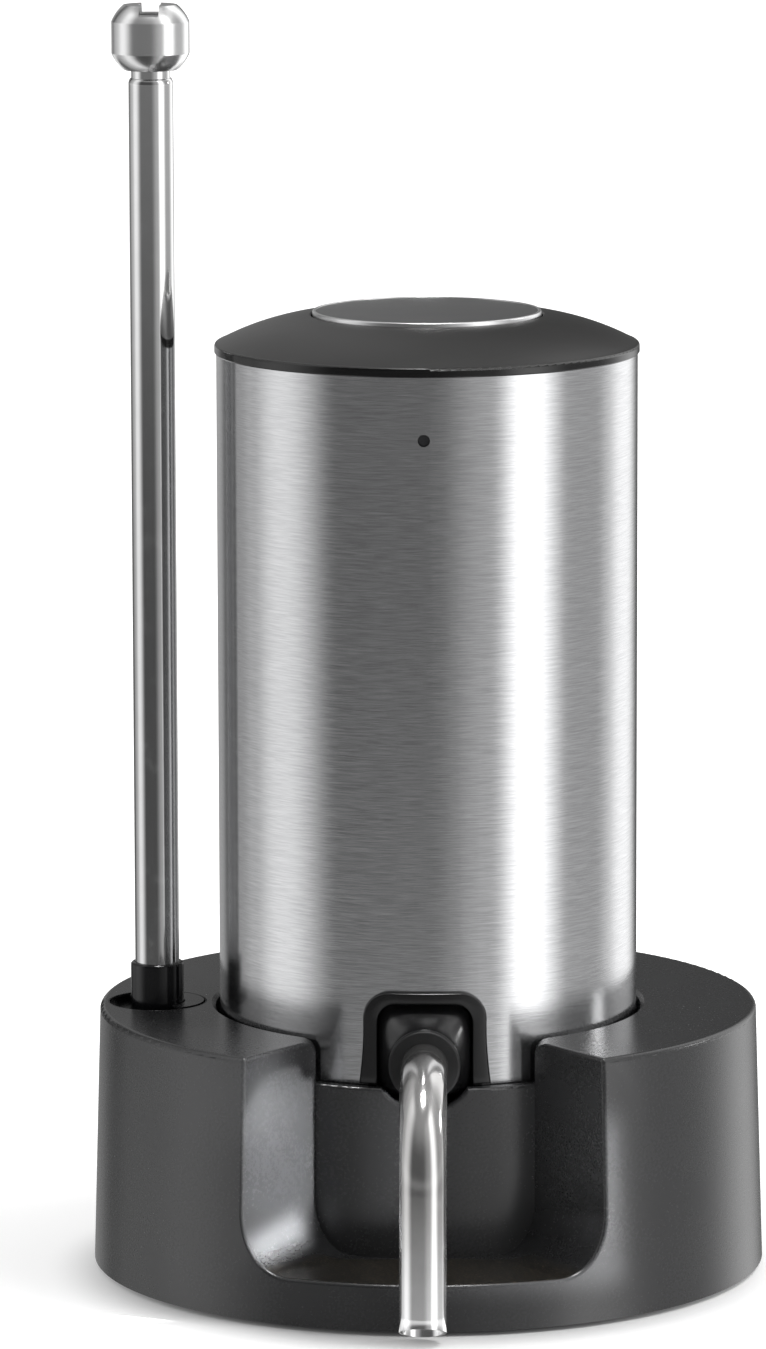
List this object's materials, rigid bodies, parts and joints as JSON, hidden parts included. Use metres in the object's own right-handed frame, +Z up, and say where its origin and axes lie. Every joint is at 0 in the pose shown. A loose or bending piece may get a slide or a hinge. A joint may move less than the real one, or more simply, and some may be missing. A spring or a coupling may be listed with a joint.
{
  "type": "wine preservation dispenser",
  "caption": "Electric wine pump and spout in a brushed steel cylinder with a push button on top, standing in a round slotted stand beside its upright telescopic suction tube.",
  "frame": {"origin": "centre of the stand's underside, on the surface it stands on", "axes": "+Z up, the spout points to -Y, the suction tube stands on the -X side"},
  "size_m": [0.0902, 0.0977, 0.1692],
  "materials": {
    "stand_plastic": "fine satin texture",
    "cover_plastic": "satin",
    "foot_rubber": "matt",
    "screw_steel": "plated",
    "socket_plastic": "satin",
    "sleeve_silicone": "glossy",
    "tube_steel": "polished",
    "tube_steel_inner": "polished",
    "ring_plastic": "natural",
    "foot_steel": "polished",
    "shell_steel": "brushed round the body",
    "cap_plastic": "satin",
    "button_plastic": "satin",
    "rim_metal": "bright",
    "spring_steel": "wire",
    "board_green": "solder mask",
    "switch_black": "moulded",
    "chip_black": "moulded",
    "led_body": "clear",
    "small_screws": "plated",
    "light_pipe": "clear",
    "port_steel": "plated",
    "frame_plastic": "moulded",
    "cell_wrap": "shrink wrap",
    "pump_plastic": "moulded",
    "motor_can": "plated",
    "lead_red": "insulated",
    "lead_black": "insulated",
    "cap_screw_steel": "plated",
    "bottom_plastic": "satin",
    "bottom_screw_steel": "plated",
    "inlet_steel": "polished",
    "stopper_silicone": "matt",
    "elbow_plastic": "food-grade, natural",
    "hose_silicone": "translucent",
    "spout_frame_plastic": "semi gloss",
    "nose_plastic": "gloss",
    "seal_silicone": "matt",
    "spout_steel": "polished"
  },
  "bodies": {
    "stand": {"base_housing": "stand_plastic", "base_bottom_cover": "cover_plastic", "base_foot_pad": "foot_rubber", "base_cover_screws": "screw_steel", "tube_socket": "socket_plastic"},
    "suction_tube": {"suction_tube_outer": "tube_steel", "tube_sleeve": "sleeve_silicone"},
    "suction_tube_section": {"suction_tube_inner": "tube_steel_inner", "tube_friction_ring": "ring_plastic", "tube_inlet_foot": "foot_steel"},
    "dispenser": {"steel_shell": "shell_steel", "top_cap": "cap_plastic", "button_spring": "spring_steel", "circuit_board": "board_green", "tact_switch": "switch_black", "board_chips": "chip_black", "status_led": "led_body", "board_screws": "small_screws", "led_light_pipe": "light_pipe", "charging_port": "port_steel", "inner_frame": "frame_plastic", "lithium_cell": "cell_wrap", "air_pump_head": "pump_plastic", "air_pump_motor": "motor_can", "motor_leads": "lead_red", "cell_leads": "lead_black", "cap_screws": "cap_screw_steel", "bottom_cover": "bottom_plastic", "bottom_cover_screws": "bottom_screw_steel", "wine_inlet": "inlet_steel", "bottle_stopper": "stopper_silicone", "wine_elbow": "elbow_plastic", "air_hose": "hose_silicone", "spout_frame": "spout_frame_plastic", "spout_housing": "nose_plastic", "spout_seal_ring": "seal_silicone"},
    "button": {"button_disc": "button_plastic", "button_rim_ring": "rim_metal"},
    "spout": {"spout_tube": "spout_steel"}
  },
  "joints": [
    {"name": "dispenser_lift", "type": "slide", "parent": "stand", "child": "dispenser", "axis": [0, 0, 1], "range_m": [0, 0.08]},
    {"name": "tube_lift", "type": "slide", "parent": "stand", "child": "suction_tube", "axis": [0, 0, 1], "range_m": [0, 0.05]},
    {"name": "tube_extend", "type": "slide", "parent": "suction_tube", "child": "suction_tube_section", "axis": [0, 0, 1], "range_m": [0, 0.12]},
    {"name": "button_press", "type": "slide", "parent": "dispenser", "child": "button", "axis": [0, 0, -1], "range_m": [0, 0.0007], "stiffness_N_per_m": 800, "springref_m": -0.0005, "deforming": ["button_spring"]},
    {"name": "spout_swivel", "type": "hinge", "parent": "dispenser", "child": "spout", "pos_m": [0, -0.03, 0.0332], "axis": [0, 1, 0], "range_deg": [-90, 90]}
  ]
}
